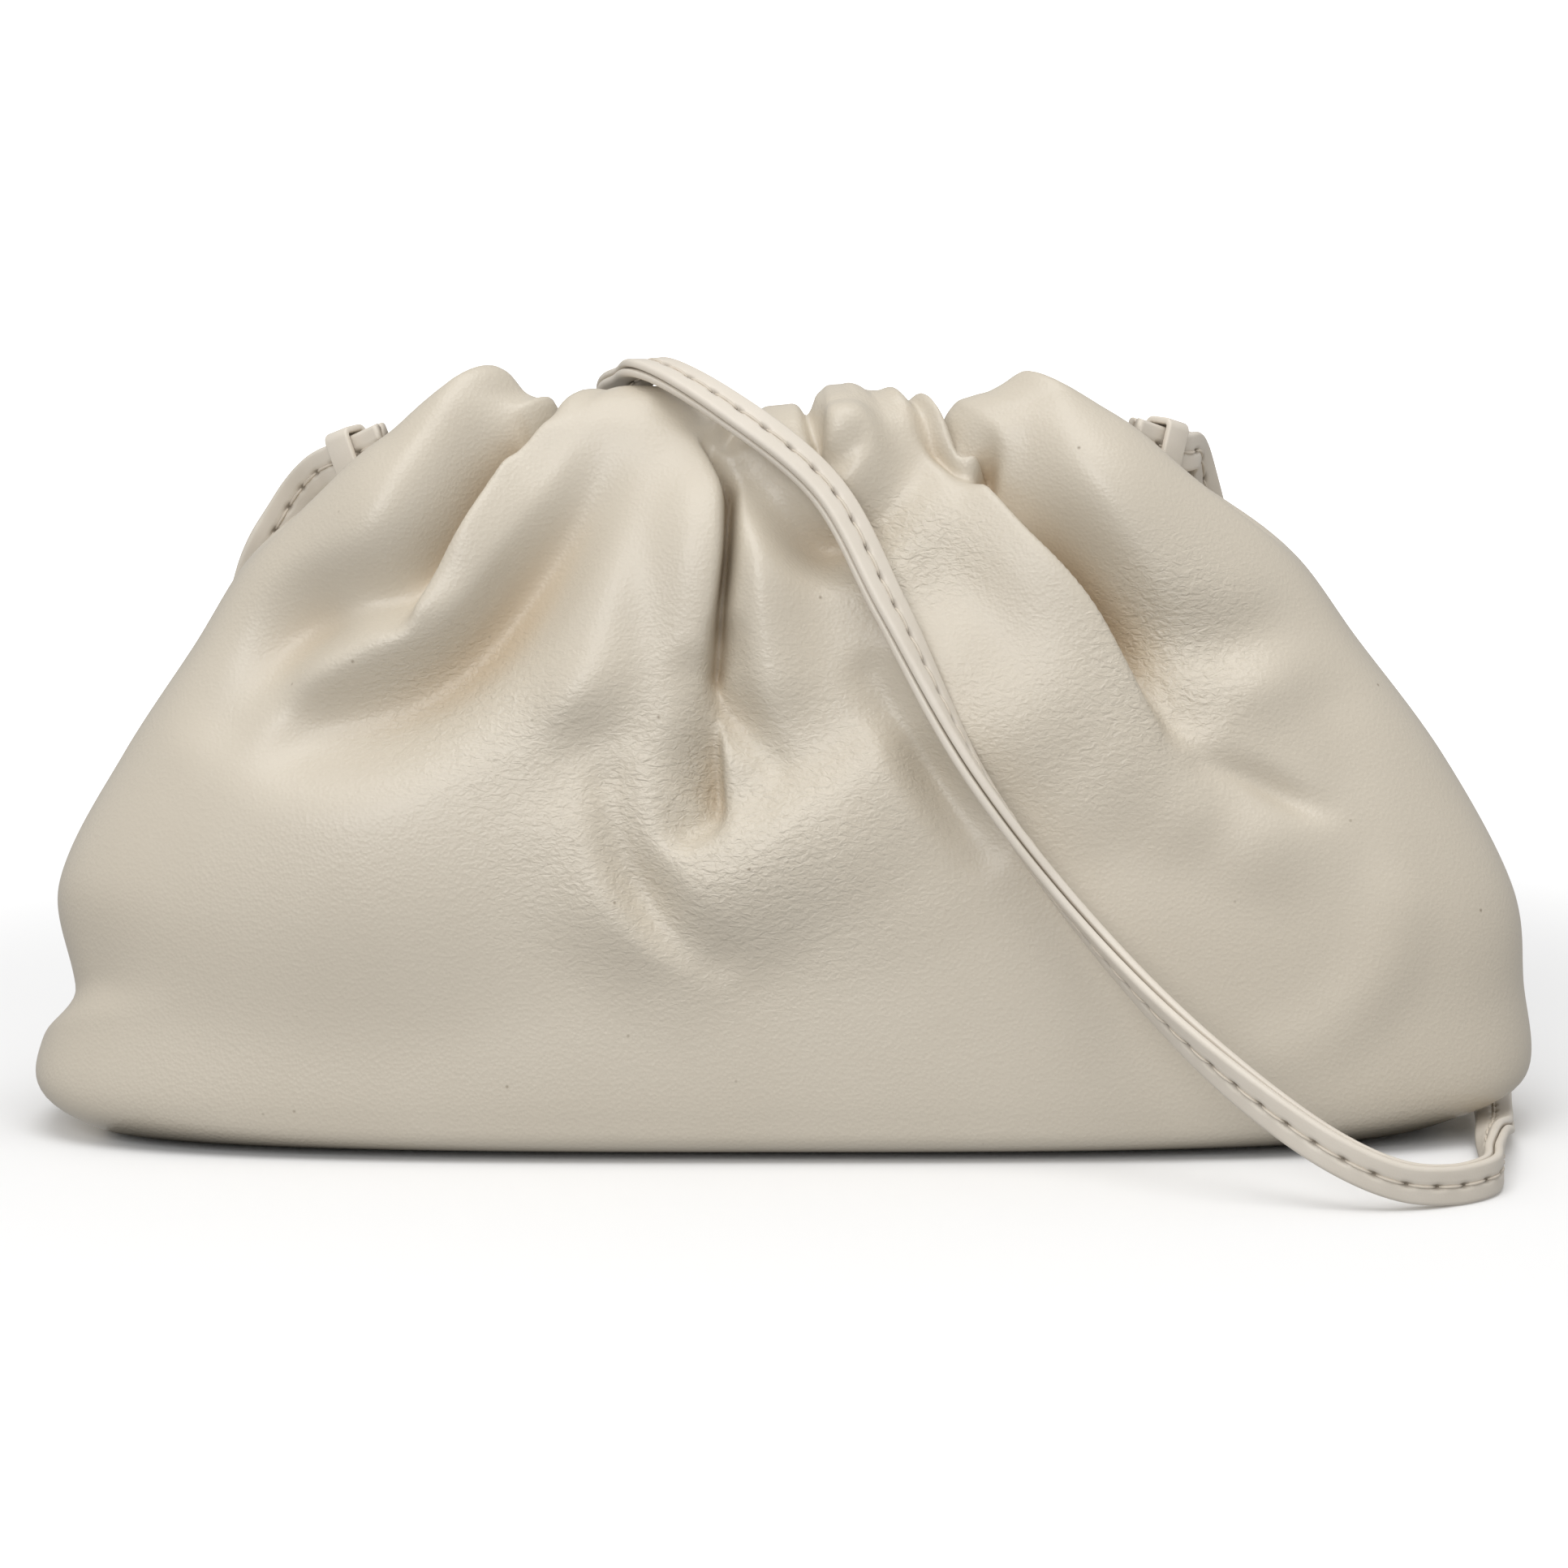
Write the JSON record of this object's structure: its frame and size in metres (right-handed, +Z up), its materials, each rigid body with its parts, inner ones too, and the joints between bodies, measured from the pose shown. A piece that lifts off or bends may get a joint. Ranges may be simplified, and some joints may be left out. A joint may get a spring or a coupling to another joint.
{
  "type": "pouch bag",
  "caption": "Soft leather pouch bag gathered into a closed slit mouth with a rolled lip, standing on a flat base, with a narrow shoulder strap laid over its front.",
  "frame": {"origin": "centre of the bag's box, on the surface it stands on", "axes": "+X along the bag to the viewer's right, +Y from its front to its back, +Z up"},
  "size_m": [0.2201, 0.1574, 0.1142],
  "materials": {
    "body_leather": "smooth bone-coloured leather with a satin sheen",
    "strap_leather": "smooth bone-coloured strap leather in two stitched layers"
  },
  "bodies": {
    "root": {"pouch_body": "body_leather", "shoulder_strap": "strap_leather", "strap_keeper_left": "strap_leather", "strap_keeper_right": "strap_leather"}
  },
  "joints": []
}
